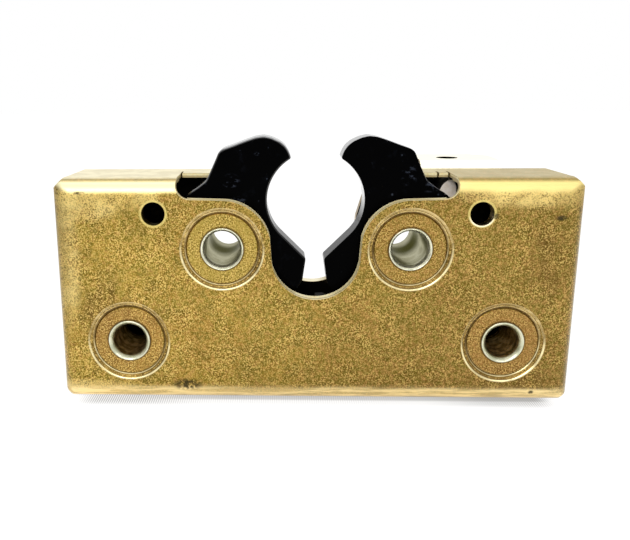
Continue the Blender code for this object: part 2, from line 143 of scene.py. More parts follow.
def turned(name, x, z, profile, count=96):
    """A turned piece about a line that runs back from (x, z): point (radius, depth) of the closed profile
    goes to x + radius cos a, depth, z + radius sin a, for angles a all the way round."""
    a = np.linspace(0, 2 * np.pi, count, endpoint=False)[:, None]
    radius, depth = np.asarray(profile, float).T
    points = np.stack([x + radius * np.cos(a), depth + 0 * a, z + radius * np.sin(a)], -1)
    return skin(name, [(points, True, True)])


def stamped(name, loops, sections):
    """A plate whose outline and holes each carry a section through its thickness. A section point (inset,
    depth) stands at path point - outward normal x inset. Outlines run anticlockwise from the front and
    holes clockwise, so the normal always points away from the metal."""
    grids = []
    for path, section in zip(loops, sections):
        before, after = path - np.roll(path, 1, 0), np.roll(path, -1, 0) - path
        before /= np.maximum(np.linalg.norm(before, axis=1, keepdims=True), 1e-9)
        after /= np.maximum(np.linalg.norm(after, axis=1, keepdims=True), 1e-9)
        along = before + after
        along /= np.maximum(np.linalg.norm(along, axis=1, keepdims=True), 1e-9)
        normal = np.stack([along[:, 1], -along[:, 0]], -1)
        normal /= np.clip((before * along).sum(1, keepdims=True), 0.6, 1)
        inset, depth = np.asarray(section, float).T
        flat = path[:, None] - normal[:, None] * inset[None, :, None]
        points = np.stack([flat[..., 0], depth + 0 * flat[..., 0], flat[..., 1]], -1)
        grids.append((points, True, False))
    return skin(name, grids)


def edge_section(front, back, roll, burr):
    """Through a punched plate: a quarter circle of the roll's radius from the front face, the straight
    wall, and a quarter circle of the burr's radius on to the back face."""
    t = np.radians(np.linspace(0, 90, 6))
    one = np.stack([roll * (1 - np.sin(t)), front + roll * (1 - np.cos(t))], -1)
    two = np.stack([burr * (1 - np.sin(t)), back - burr * (1 - np.cos(t))], -1)[::-1]
    return np.concatenate([one, two])


def box_tool(plan, low, high, across="z"):
    """A prism that cuts or joins: its plan, a closed path, stands at the low and high levels of the axis
    that the plan leaves out."""
    plan = np.asarray(plan, float)
    levels = np.stack([0 * plan[:, 0] + low, 0 * plan[:, 0] + high], 1)
    first, second = (np.repeat(plan[:, k : k + 1], 2, 1) for k in (0, 1))
    order = [first, second]
    order.insert("xyz".index(across), levels)
    verts = placed(np.stack(order, -1).reshape(-1, 3))
    count = len(plan)
    i = np.arange(count)
    j = (i + 1) % count
    sides = np.stack([2 * i, 2 * j, 2 * j + 1, 2 * i + 1], -1).tolist()
    mesh = bpy.data.meshes.new("tool")
    mesh.from_pydata(verts.tolist(), [], sides + [(2 * i).tolist()[::-1], (2 * i + 1).tolist()])
    work = bmesh.new()
    work.from_mesh(mesh)
    bmesh.ops.recalc_face_normals(work, faces=work.faces)
    work.to_mesh(mesh)
    work.free()
    tool = bpy.data.objects.new("tool", mesh)
    bpy.context.collection.objects.link(tool)
    return tool


def pan_ring(inset, depth):
    """Once round the pan: a rectangle this far inside the blank, its corners quarter circles, and any
    point beyond the 45-degree nip moved square on to it."""
    a, b = WIDTH / 2 - inset, HEIGHT / 2 - inset
    reach = max(NIP - 2 * inset, CORNER) + 0.01
    turn = np.radians(np.linspace(0, 90, 9))
    x = np.concatenate([[a], a - CORNER + CORNER * np.cos(turn), [a - reach]])
    z = np.concatenate([[b - reach], b - CORNER + CORNER * np.sin(turn), [b]])
    over = np.maximum(x + z - (WIDTH / 2 + HEIGHT / 2 - NIP), 0) / 2
    x, z = x - over, z - over
    x = np.concatenate([x, -x[::-1], -x, x[::-1]])
    z = np.concatenate([z, z[::-1], -z, -z[::-1]])
    return np.stack([x, 0 * x + depth, z + HEIGHT / 2], -1)


def fold(start, radius):
    """A quarter turn of sheet as (inset, depth): start + radius (1 - sin a), start + radius (1 - cos a)."""
    a = np.radians(np.linspace(0, 90, 17))
    return [(start + radius * (1 - s), start + radius * (1 - c)) for s, c in zip(np.sin(a), np.cos(a))]


flange_rim = [(0, DEPTH - 0.3), (0.09, DEPTH - 0.09), (0.3, DEPTH), (SHEET - 0.3, DEPTH)]
flange_rim += [(SHEET - 0.09, DEPTH - 0.09), (SHEET, DEPTH - 0.3)]
pan_section = fold(0, BEND) + flange_rim + fold(SHEET, BEND - SHEET)[::-2]
rings = [pan_ring(*at) for at in pan_section]
housing = skin("housing_pan", [(np.stack(rings), False, True)])


def rectangle(left, right, low, high):
    """The four corners of an upright rectangle, anticlockwise."""
    return [(left, low), (right, low), (right, high), (left, high)]


for x, z in PIVOTS:
    bulge = [(0, SHEET - 0.5), (9.2, SHEET - 0.5), (8.15, SHEET + 0.6), (0, SHEET + 0.6)]
    cut(housing, turned("bulge", x, z, bulge, 64), "UNION")
for x, z in PIVOTS:
    step = [(0, -0.5), (9.5, -0.5), (9.15, 0.0), (9.0, 0.06), (8.85, 0.16), (8.72, 0.3), (8.62, 0.36)]
    step += [(8.5, 0.34), (8.38, 0.36), (8.25, 0.46), (8.1, 0.62), (7.98, 0.72), (7.86, 0.72)]
    step += [(7.74, 0.6), (7.6, 0.5), (0, 0.5)]
    cut(housing, turned("ring", x, z, step))
    cut(housing, turned("hole", x, z, rectangle(0, BUSHING_HOLE_R, -1, 5), 64))
small_hole = rectangle(0, SMALL_HOLE_R, -1, 5)
for side in (-1, 1):
    cut(housing, turned("hole", side * SMALL_HOLE_X, SMALL_HOLE_Z, small_hole, 64))

half_mouth = np.concatenate(
    [
        arc(0, U_Z, U_R, -90, 0, 24)[1:],
        arc(ROTOR_X, ROTOR_Z, ROTOR_X - U_R, 166, 90, 20),
        arc(MOUTH_HALF - 3.2, MOUTH_Z + 3.2, 3.2, -90, 0, 12),
        [(MOUTH_HALF, HEIGHT - 1.2), (MOUTH_HALF - 0.6, HEIGHT + 3)],
    ]
)
mouth = np.concatenate([[(0, U_Z - U_R)], half_mouth, mirrored(half_mouth)])
cut(housing, box_tool(mouth, -1, MOUTH_BACK, "y"))
cut(housing, box_tool(rectangle(-THROAT, THROAT, HEIGHT - 6, HEIGHT + 2), 5, DEPTH + 2, "y"))
cut(housing, box_tool(rectangle(-LIP_HALF, LIP_HALF, 45, LIP_Z), 8, DEPTH + 1, "y"))
for left, right, slit_end in ((27.3, 27.75, 12.6), (29.75, 30.1, 13.2), (-30.1, -29.75, 13.6)):
    cut(housing, box_tool(rectangle(left, right, 49, 51), 10, slit_end, "y"))
coined_bend = arc(BEND, HEIGHT - BEND, BEND - COINED, 180, 90, 9)
coined_back = MOUTH_BACK + 0.1
coined = [(COINED, 44.2), *coined_bend, (coined_back, HEIGHT - COINED), (coined_back, 44.2)]
for low, high in ((-32.2, -27.8), (27.8, 32.2)):
    cut(housing, box_tool(coined, low, high, "x"))
edge_x, near, far = WIDTH / 2, BEND + 0.4, DEPTH + 1
for low, high, start, end in ((-1, SHEET + 0.4, 3.6, 8.6), (HEIGHT - SHEET - 0.4, HEIGHT + 1, 2.6, 3.2)):
    plan = [(edge_x + 2, near), (edge_x - start, near), (edge_x - end, far), (edge_x + 2, far)]
    for side in (-1, 1):
        cut(housing, box_tool([(side * x, y) for x, y in plan], low, high))


def rolled(piece, width, chosen):
    """Rounds the sharp edges that a test chooses, over this width on each side."""
    work = bmesh.new()
    work.from_mesh(piece.data)
    bmesh.ops.remove_doubles(work, verts=work.verts, dist=3e-6)
    bmesh.ops.dissolve_degenerate(work, edges=work.edges, dist=2e-6)
    found = []
    for edge in work.edges:
        if len(edge.link_faces) == 2 and edge.calc_face_angle(0) > np.radians(50):
            x, y, z = (edge.verts[0].co + edge.verts[1].co) * 500
            if edge.is_convex and chosen(x, y + WHOLE_DEPTH / 2, z):
                found.append(edge)
    bmesh.ops.bevel(
        work, geom=found, offset=width / 1000, segments=4, profile=0.5, affect="EDGES", clamp_overlap=True
    )
    work.to_mesh(piece.data)
    work.free()


def on_front(x, y, z):
    """True on the outer skin over the holes, the mouth and the front of the top flange."""
    bend = np.hypot(max(BEND - y, 0), max(z - HEIGHT + BEND, 0)) > BEND - 0.01
    return abs(x) < 46 and (y < 0.01 or (z > HEIGHT - BEND and y < 9 and bend))


rolled(housing, ROLLED_EDGE, on_front)
smoothed(housing, 30)


class Tone:
    """A number, colour or direction inside a finish: it wraps a node's socket, and an operator adds a Math
    node with the same name as its sign."""

    def __init__(self, tree, socket):
        self.tree, self.socket = tree, socket

    def node(self, kind, settings=(), sockets=(), out=0):
        """Adds a node: its settings are set first, then the values or links of its sockets."""
        made = self.tree.nodes.new(kind)
        for key, value in dict(settings).items():
            setattr(made, key, value)
        for key, value in dict(sockets).items():
            if isinstance(value, Tone):
                self.tree.links.new(value.socket, made.inputs[key])
            else:
                made.inputs[key].default_value = value
        return Tone(self.tree, made.outputs[out])

    def maths(self, operation, *others):
        """A Math node on this value and the others, in that order."""
        return self.node("ShaderNodeMath", {"operation": operation}, enumerate((self, *others)))

    def __add__(self, other):
        return self.maths("ADD", other)

    def __sub__(self, other):
        return self.maths("SUBTRACT", other)

    def __rsub__(self, other):
        return self.node("ShaderNodeMath", {"operation": "SUBTRACT"}, {0: other, 1: self})

    def __mul__(self, other):
        return self.maths("MULTIPLY", other)

    __radd__ = __add__
    __rmul__ = __mul__

    def times(self, scale):
        """A direction or place multiplied axis by axis."""
        return self.node("ShaderNodeVectorMath", {"operation": "MULTIPLY"}, {0: self, 1: scale})

    def rise(self, low, high):
        """0 below low, 1 above high, and a smooth rise between."""
        limits = {"Value": self, "From Min": low, "From Max": high}
        return self.node("ShaderNodeMapRange", {"interpolation_type": "SMOOTHSTEP"}, limits)

    def fall(self, low, high):
        """1 below low, 0 above high: one less the rise."""
        return 1 - self.rise(low, high)

    def band(self, start, full, fade, end):
        """0 up to start, 1 from full to fade, 0 again from end on: a rise times a fall."""
        return self.rise(start, full) * self.fall(fade, end)

    def mix(self, first, second):
        """First where this mask is 0, second where it is 1."""
        first, second = ((*c, 1.0) if isinstance(c, tuple) else c for c in (first, second))
        return self.node("ShaderNodeMix", {"data_type": "RGBA"}, {0: self, 6: first, 7: second}, 2)

    def noise(self, scale, detail=2.0, rough=0.5):
        """Cloudy noise, 0 to 1, with this many features to a millimetre."""
        sockets = {"Vector": self, "Scale": scale, "Detail": detail, "Roughness": rough}
        return self.node("ShaderNodeTexNoise", {}, sockets)

    def length(self):
        """How long a direction is."""
        return self.node("ShaderNodeVectorMath", {"operation": "LENGTH"}, {0: self}, 1)

    def beyond(self, place):
        """The way from a fixed place to this one."""
        return self.node("ShaderNodeVectorMath", {"operation": "SUBTRACT"}, {0: self, 1: place})

    def spot(self, centre, size):
        """1 round the centre, falling to 0 at an ellipse of these half sizes, axis by axis."""
        return self.beyond(centre).times(tuple(1 / s for s in size)).length().fall(0.35, 1.0)

    def axis(self, name):
        """One part of a direction or place."""
        return self.node("ShaderNodeSeparateXYZ", {}, {0: self}, "XYZ".index(name))


def finish(name, paint, **fixed):
    """A material: paint takes the place on the piece in millimetres and returns what varies, by socket
    name; the fixed values go straight on the shader's sockets."""
    made = bpy.data.materials.new(name)
    made.use_nodes = True
    tree = made.node_tree
    shader = tree.nodes["Principled BSDF"]
    for key, value in fixed.items():
        shader.inputs[key.replace("_", " ")].default_value = value
    place = tree.nodes.new("ShaderNodeTexCoord")
    varied = paint(Tone(tree, place.outputs["Object"]).times((1000.0, 1000.0, 1000.0)))
    for key, value in varied.items():
        tree.links.new(value.socket, shader.inputs[key])
    return made


def bumped(height, distance, strength=1.0):
    """A normal from a height: 0 to 1 stands for this distance in millimetres."""
    sockets = {"Height": height, "Distance": distance / 1000, "Strength": strength}
    return height.node("ShaderNodeBump", {}, sockets)


def layered(colour, *layers):
    """Lays each layer's tint over the colour where its mask is 1, in turn."""
    for mask, tint in layers:
        colour = mask.mix(colour, tint)
    return colour


MARKS = [
    ((-50.8, -18.0, 47.6), (1.6, 3.0, 0.5)),
    ((-28.6, -18.0, 4.0), (4.2, 3.0, 1.9)),
    ((51.6, -18.0, 42.2), (1.6, 3.0, 0.8)),
    ((48.4, -18.0, 2.6), (0.8, 3.0, 0.7)),
    ((37.9, -18.0, 42.6), (0.9, 3.0, 0.9)),
]
BROWNED = [
    ((49.5, -18.0, 33.0), (6.0, 6.0, 13.0)),
    ((45.0, -18.0, 4.0), (14.0, 6.0, 7.0)),
    ((-46.0, -18.0, 20.0), (9.0, 6.0, 15.0)),
]
# Painted highlights: paler patches by the left edge, at the top and bottom left corners and under the top
# bend at the right.
PAINTED_HIGHLIGHTS = [
    ((-54.5, -18.0, 33.0), (4.0, 5.0, 20.0)),
    ((-49.0, -18.0, 44.5), (9.0, 5.0, 4.0)),
    ((-51.0, -18.0, 3.4), (14.0, 5.0, 2.2)),
    ((43.0, -18.0, 47.0), (17.0, 5.0, 3.0)),
]


def ring_distance(at):
    """Millimetres from the nearest pivot line: the least of the four lengths of (x, z) - pivot."""
    least = None
    for x, z in PIVOTS:
        length = at.beyond((x, 0, z)).times((1, 0, 1)).length()
        least = least.maths("MINIMUM", length) if least else length
    return least


def yellow_zinc(at):
    """Mottled yellow chromate: straw, olive and tan clouds, browner to the right and at the foot, with
    blotches, stains and specks over them. Painted light: the bends are painted pale where the lamps'
    highlight falls, and at the outer ends that highlight is painted a little way down the face; paler
    patches near the edges are painted highlights; the faces that look up are painted cream as lit from
    above, and those behind the plate, the ear's top, near white; the foot is painted lighter as the
    floor's reflection. The rings' floors are yellow at the upper left and more orange elsewhere, with
    painted shade on each ring's stepped wall, at the foot of each step and round each bushing, and
    painted highlights as bright lines on each ring's lower half. Dents are dark spots and the small
    holes' rims paler, with a painted highlight, a crescent, low on the right hole's rim."""
    cloud = at.noise(0.06, 3.0, 0.55).rise(0.38, 0.62)
    patch = at.noise(0.2, 3.0, 0.6).rise(0.42, 0.6)
    stain = at.noise(0.3, 4.0, 0.65)
    blotch = at.noise(1.2, 4.0, 0.65)
    speck = at.noise(3.3, 2.0, 0.6)
    fine = at.noise(5.2, 1.0, 0.5)
    streaks = at.times((1.0, 1.0, 0.25)).noise(0.5, 3.0, 0.6).rise(0.3, 0.7)
    floor_reflection_streak = at.times((0.12, 1.0, 1.0)).noise(0.9, 3.0, 0.6).rise(0.42, 0.6)
    dent = at.noise(0.9, 3.0, 0.6).rise(0.36, 0.54)
    x, depth, z = at.axis("X"), at.axis("Y") + WHOLE_DEPTH / 2, at.axis("Z")
    half_x = x.maths("ABSOLUTE")
    up = at.node("ShaderNodeTexCoord", out=1).axis("Z")
    down = 0 - up
    front = depth.fall(1.0, 1.4)
    right = x.rise(-48.0, 44.0) * (0.8 + 0.2 * z.fall(5.0, 40.0))

    away = ring_distance(at)
    outer_pair = half_x.rise(28.0, 34.0)
    ring_floor = away.fall(7.4, 7.8) * front
    upper_left = (1 - outer_pair) * x.fall(-2.0, 2.0)
    pivot_z = ROTOR_Z + (PAWL_Z - ROTOR_Z) * half_x.rise(30.6, 31.0)
    above = (z - pivot_z).rise(-3.0, 3.0)
    # Painted shade: the pressed ring's stepped wall is darkened, a little less above the pivot.
    step = away.band(7.9, 8.1, 8.9, 9.7) * front
    # Painted highlights: bright lines on the lower half of each ring.
    painted_ring_highlights = (away.band(8.75, 8.9, 9.1, 9.3) + away.band(7.93, 7.98, 8.1, 8.2)) * front * (1 - above)
    broken = 0.6 + 0.4 * at.noise(0.35, 2.0).rise(0.3, 0.7)
    # Painted shade: a dark line at the foot of each ring's step and a dark ring round each bushing.
    painted_ring_shade = (away.band(7.66, 7.8, 7.9, 8.05) + away.fall(4.75, 5.15)) * front

    # Painted highlight: at the outer ends the bend's highlight is painted a little way down on to the face.
    bend_highlight_spill = z.rise(43.0, 47.3) * half_x.rise(32.0, 35.0) * up.fall(0.1, 0.5) * (0.5 + 0.5 * patch)
    mottle = 0.38 + 0.42 * at.noise(0.22, 2.0).rise(0.35, 0.65)
    mottle = mottle * (1 - up.rise(0.15, 0.5) * 0.75)
    # Painted highlight: the bends are painted pale where the lamps reflect, so that highlight reads white.
    bend_highlight = up.rise(0.12, 0.6) * (1 - up.rise(0.7, 0.9) * 0.8) * z.rise(44.0, 46.0)
    bend_highlight_tint = x.rise(15.0, 34.0).mix((0.96, 0.88, 0.55), (0.95, 0.79, 0.32))
    # Painted reflection: the bend at the foot and the lowest band are painted lighter, as the white floor
    # reflected.
    painted_floor_reflection = down.band(0.02, 0.3, 0.8, 0.95) * 0.6 + z.fall(2.6, 4.6) * 0.35
    # Painted light: faces that look up are painted cream, as lit from above, less toward the right.
    top = up.rise(0.9, 0.99) * (0.7 + patch * 0.2) * (1 - x.rise(10.0, 32.0) * 0.65)
    # Painted highlight: faces that look up behind the back plate, the ear's top, are painted near white.
    painted_ear_highlight = up.rise(0.1, 0.4) * depth.rise(19.15, 19.3)
    from_hole = {0: half_x - SMALL_HOLE_X, 1: z - SMALL_HOLE_Z}
    hole = at.node("ShaderNodeCombineXYZ", {}, from_hole).length()
    # Painted highlight: a bright crescent low on the right small hole's rim.
    painted_hole_highlight = hole.fall(2.75, 2.95) * x.rise(0.0, 1.0) * z.fall(41.0, 43.0)

    colour = layered(
        cloud.mix((0.34, 0.225, 0.036), (0.28, 0.165, 0.027)),
        (patch * 0.55, (0.22, 0.175, 0.024)),
        (right * 0.8, (0.115, 0.066, 0.016)),
        (blotch.rise(0.5, 0.62) * 0.5, (0.4, 0.22, 0.07)),
        (blotch.fall(0.4, 0.5) * 0.6, (0.13, 0.11, 0.014)),
        (stain.fall(0.36, 0.48) * 0.5, (0.12, 0.085, 0.013)),
        *((at.spot(*area) * streaks * 0.75, (0.1, 0.052, 0.012)) for area in BROWNED),
        *((at.spot(*area) * (0.35 + 0.3 * patch), (0.72, 0.56, 0.22)) for area in PAINTED_HIGHLIGHTS),
        (ring_floor * upper_left * 0.5, (0.34, 0.29, 0.05)),
        (ring_floor * (0.2 + 0.25 * outer_pair), (0.3, 0.14, 0.045)),
        (step * (0.75 - 0.2 * above), (0.15, 0.085, 0.02)),
        (bend_highlight_spill * 0.6, (0.8, 0.62, 0.22)),
        (speck.rise(0.5, 0.63) * mottle * (1 - right * 0.35), (0.74, 0.52, 0.165)),
        (speck.fall(0.37, 0.5) * mottle, (0.055, 0.03, 0.003)),
        (fine.rise(0.54, 0.7) * (1 - up.rise(0.15, 0.5) * 0.75) * 0.3, (0.7, 0.5, 0.17)),
        (painted_ring_highlights * broken * 0.8, (1.0, 0.88, 0.5)),
        (bend_highlight * 0.85, bend_highlight_tint),
        (painted_floor_reflection * (0.5 + 0.5 * floor_reflection_streak), (0.9, 0.72, 0.36)),
        (top, (1.0, 0.92, 0.64)),
        (painted_ear_highlight, (1.0, 0.97, 0.82)),
        (hole.fall(2.85, 3.2) * front * 0.6, (0.7, 0.58, 0.2)),
        (painted_hole_highlight * front * 0.75, (1.0, 0.9, 0.66)),
        (painted_ring_shade * 0.8, (0.05, 0.024, 0.006)),
        *((at.spot(*area) * dent * 0.9, (0.03, 0.025, 0.012)) for area in MARKS),
    )
    rough = 0.25 + speck * 0.12 + z.rise(41.5, 46.5) * (0.1 + 0.12 * x.rise(0.0, 30.0))
    return {"Base Color": colour, "Roughness": rough, "Normal": bumped(speck * 0.6 + fine * 0.4, 0.012, 0.4)}


def cut_edge(at):
    """The punched edge of the mouth: cream plating through the sheet with faint drag lines, a darker line
    at the skin and a second one inside it, and painted shade, near black, far in at the corners. The way
    in from the skin is the bend's radius less the distance from the bend's centre line."""
    x, depth, z = at.axis("X"), at.axis("Y") + WHOLE_DEPTH / 2, at.axis("Z")
    out = (BEND - depth).maths("MAXIMUM", 0)
    rise = (z - (HEIGHT - BEND)).maths("MAXIMUM", 0)
    inside = BEND - (out * out + rise * rise).maths("SQRT")
    drag = at.times((2.0, 0.3, 2.0)).noise(1.4, 3.0, 0.6)
    # Painted shade: near black far in at the mouth's corners.
    corner = x.maths("ABSOLUTE").rise(26.8, 28.6) * inside.rise(1.0, 1.8)
    colour = layered(
        drag.rise(0.4, 0.62).mix((1.0, 0.82, 0.42), (1.0, 0.93, 0.58)),
        (inside.fall(0.02, 0.15) * 0.4, (0.3, 0.18, 0.04)),
        (inside.band(0.4, 0.7, 1.1, 1.5) * 0.6, (0.28, 0.18, 0.06)),
        (corner * 0.97, (0.02, 0.01, 0.004)),
    )
    return {
        "Base Color": colour,
        "Metallic": 0.15 - corner * 0.15,
        "Roughness": 0.34 + drag * 0.2,
        "Normal": bumped(drag, 0.02, 0.4),
    }


def painted_cavity_shade(at):
    """The inside of the latch: zinc painted near black as the shade of the closed cavity, with faint brown
    clouds.
    """
    brown_cloud = at.noise(0.4, 3.0, 0.6).rise(0.5, 0.75)
    colour = brown_cloud.mix((0.004, 0.003, 0.002), (0.03, 0.02, 0.008))
    return {"Base Color": colour, "Roughness": 0.45 + brown_cloud * 0.2, "Normal": bumped(brown_cloud, 0.03, 0.3)}


def slots_by_face(piece, finishes, choose):
    """Gives each face the slot that choose works out from all the face centres (in millimetres, depth from
    the front) and normals at once."""
    mesh = piece.data
    mesh.materials.clear()
    for made in finishes:
        mesh.materials.append(made)
    centres, normals = np.empty(len(mesh.polygons) * 3), np.empty(len(mesh.polygons) * 3)
    mesh.polygons.foreach_get("center", centres)
    mesh.polygons.foreach_get("normal", normals)
    x, y, z = centres.reshape(-1, 3).T * 1000
    slots = choose(x, y + WHOLE_DEPTH / 2, z, normals.reshape(-1, 3))
    mesh.polygons.foreach_set("material_index", np.asarray(slots, np.int32))


def housing_slots(x, y, z, normal):
    """0 on the outer skin, 1 on the walls of the mouth and their rolled edge, 2 on the inner skin."""
    half_x, half_z = np.abs(x), np.abs(z - HEIGHT / 2)
    pressed = np.min([np.hypot(x - a, z - b) for a, b in PIVOTS], 0) < 9.6
    small = np.hypot(half_x - SMALL_HOLE_X, z - SMALL_HOLE_Z) < 3.2
    bend = np.hypot(np.maximum(BEND - y, 0), np.maximum(half_z - HEIGHT / 2 + BEND, 0)) > BEND - 0.03
    outer = (y < 0.01) | (bend & (half_z > HEIGHT / 2 - BEND))
    mouth_wall = (half_x < MOUTH_HALF + 0.6) & (z > 22) & (y < MOUTH_BACK + 0.1)
    mouth_wall &= ~outer & ~pressed & ~small
    mouth_wall &= (np.abs(normal[:, 1]) < 0.97) | (y > MOUTH_BACK - 0.1)
    facing_in = (y > 2.5) & (half_x < WIDTH / 2 - 2.9) & (half_z < HEIGHT / 2 - 0.9)
    return np.where(mouth_wall, 1, np.where(facing_in, 2, 0))


ZINC = finish("yellow_zinc", yellow_zinc, Metallic=1.0)
CREAM = finish("cut_edge_zinc", cut_edge, Specular_IOR_Level=0.15)
# The inner skin takes the painted shade finish: near black, as the closed cavity's shade.
CAVITY_SHADE = finish("cavity_shade_zinc", painted_cavity_shade, Specular_IOR_Level=0.02)
slots_by_face(housing, [ZINC, CREAM, CAVITY_SHADE], housing_slots)
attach(housing, "housing")
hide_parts("front_housing")

# Bushings. Four turned steel tubes with a shoulder that holds the rotors and pawls apart from the sheet;
# the front end is staked over the hole to a rounded, countersunk rim. Plain zinc, a little green, with
# painted shade far inside; the lower pair have a thread, brown inside and painted near black far in.

EDGE, STAKED_R, SHAFT_R, SHOULDER_R, COLLAR_R = 0.14, 4.72, 4.35, 5.05, 5.6
SHOULDER_FRONT, SHOULDER_BACK, TUBE_END = 3.85, 15.75, 23.75
BEHIND_PLATE, BEHIND_LEVER, COLLAR_EDGE = 19.35, 22.65, 0.35


def pale_zinc(at):
    """Plain zinc: faint turning lines and clouds, light on the rim and, far inside, painted shade of a darker
    green grey.
    """
    cloud = at.noise(0.5, 3.0).rise(0.35, 0.65)
    streak = at.times((1.0, 3.0, 1.0)).noise(1.6, 3.0, 0.6)
    depth = at.axis("Y") + WHOLE_DEPTH / 2
    rim = layered(
        cloud.mix((0.66, 0.65, 0.5), (0.5, 0.51, 0.36)),
        (streak.rise(0.45, 0.62) * 0.5, (0.85, 0.84, 0.74)),
        (depth.band(0.2, 0.5, 2.0, 3.0), (1.0, 0.98, 0.86)),
    )
    inside = cloud.mix((0.66, 0.64, 0.5), (0.86, 0.84, 0.7))
    # Painted shade far inside the bore, lighter again toward the open back end.
    painted_bore_shade = depth.rise(8.0, 15.0) * (1 - depth.rise(17.5, 22.0) * 0.7)
    inside = painted_bore_shade.mix(inside, (0.05, 0.052, 0.03))
    colour = depth.rise(1.5, 5.0).mix(rim, inside)
    return {"Base Color": colour, "Roughness": 0.22 + streak * 0.16, "Normal": bumped(streak, 0.01, 0.4)}


def dark_bore(at):
    """The lower tubes: the same pale rim, brown inside, and painted shade, near black, far in."""
    cloud = at.noise(0.7, 3.0).rise(0.4, 0.65)
    streak = at.noise(1.6, 3.0, 0.6)
    depth = at.axis("Y") + WHOLE_DEPTH / 2
    rim = cloud.mix((0.66, 0.65, 0.5), (0.5, 0.51, 0.36))
    inside = cloud.mix((0.3, 0.22, 0.1), (0.7, 0.55, 0.32))
    # Painted shade: near black far inside the bore.
    inside = depth.rise(11.0, 15.0).mix(inside, (0.012, 0.01, 0.008))
    colour = depth.rise(0.7, 1.1).mix(rim, inside)
    return {"Base Color": colour, "Roughness": 0.25 + streak * 0.2, "Normal": bumped(streak, 0.01, 0.4)}


PALE = finish("pale_zinc", pale_zinc, Metallic=1.0, Specular_Tint=(0.5, 0.49, 0.38, 1))
TAPPED = finish("tapped_zinc", dark_bore, Metallic=1.0, Specular_Tint=(0.2, 0.17, 0.1, 1))

for kind, x0, z0, bore in (("rotor", ROTOR_X, ROTOR_Z, 3.8), ("pawl", PAWL_X, PAWL_Z, 3.5)):
    for side, s in (("left", -1), ("right", 1)):
        collar = BEHIND_LEVER if (kind, s) == ("pawl", 1) else BEHIND_PLATE
        rim = [(0, 1.5), (0.15, 0.85), (0.4, 0.38), (0.65, 0.1), (0.82, 0.02)]
        tube = [(bore + part * (STAKED_R - bore), depth) for part, depth in rim]
        tube += [(STAKED_R - 0.06, 0.14), (STAKED_R, 0.5), (SHAFT_R + 0.07, 0.62), (SHAFT_R, 0.8)]
        tube += [(SHAFT_R, SHOULDER_FRONT), (SHOULDER_R, SHOULDER_FRONT)]
        tube += [(SHOULDER_R, SHOULDER_BACK), (SHAFT_R, SHOULDER_BACK), (SHAFT_R, collar)]
        tube += [(COLLAR_R, collar), (COLLAR_R, TUBE_END - COLLAR_EDGE)]
        tube += [(COLLAR_R - COLLAR_EDGE, TUBE_END), (bore, TUBE_END)]
        if kind == "pawl":
            tube += [(bore + (0.3 if k % 2 else 0), 22.5 - 0.63 * k) for k in range(33)]
        bushing = smoothed(turned(f"{kind}_bushing_{side}_tube", s * x0, z0, eased(tube, EDGE, 5)))
        bushing.data.materials.append(PALE if kind == "rotor" else TAPPED)
        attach(bushing, "housing")
        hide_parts(f"{kind}_bushing_{side}")

# Rotors. Two forks punched from 1/4 in steel plate, one the other turned over, and coated glossy black.
# The left one shows the rolled side of its edges and the right one the sharp side. Each turns on its
# bushing, and its notched hub is held by the nose of a pawl.

LAYER = (3.9, 10.2)
SHAFT_HOLE = 5.35
JAW_R, JAW_Z = 10.6, 45.3


def rotor_path():
    """The left rotor from its pivot, clockwise from the horn's tip: jaw, finger, hub, back and crown. It is
    then turned anticlockwise and put in place."""
    jaw_x, jaw_z = ROTOR_X, JAW_Z - ROTOR_Z
    tip = (14.75, 19.2)
    start = np.degrees(np.arctan2(tip[1] - jaw_z, tip[0] - jaw_x))
    jaw = arc(jaw_x, jaw_z, JAW_R, start, 222, 30)
    finger = [(18.33, -2.96), (17.95, -5.6), (17.6, -8.2), (16.6, -9.9), (14.6, -11.2), (9.5, -12.2)]
    relief = arc(0, 0, 12.3, 302, 262, 20)[1:]
    hub = arc(0, 0, 14.0, 261.5, 140, 56)
    back = [(-7.6, 11.6), (-5.5, 12.9), (-3.5, 14.4), (-2.75, 16.0), (-2.2, 17.2), (-1.2, 19.4)]
    crown = [(-0.75, 20.5), (0.1, 21.2), (2.3, 21.95), (5.1, 23.0), (7.2, 23.7), (9.0, 23.95)]
    crown += [(10.7, 23.6), (12.45, 22.8), (13.6, 21.9), (14.35, 20.8), (14.85, 19.6)]
    return np.concatenate([jaw, finger, relief, hub, back, crown])[::-1] + (-ROTOR_X, ROTOR_Z)


# Painted glints on the rotors' faces: grey-blue spots at listed places.
PAINTED_GLINTS = [
    ((-18.3, -14.2, 49.5), (2.2, 3.0, 2.0)),
    ((-16.6, -14.2, 45.8), (2.0, 3.0, 1.0)),
    ((-12.8, -14.2, 55.5), (0.7, 3.0, 0.5)),
    ((24.6, -14.2, 48.4), (2.4, 3.0, 1.6)),
    ((20.0, -14.2, 50.8), (2.0, 3.0, 3.0)),
]


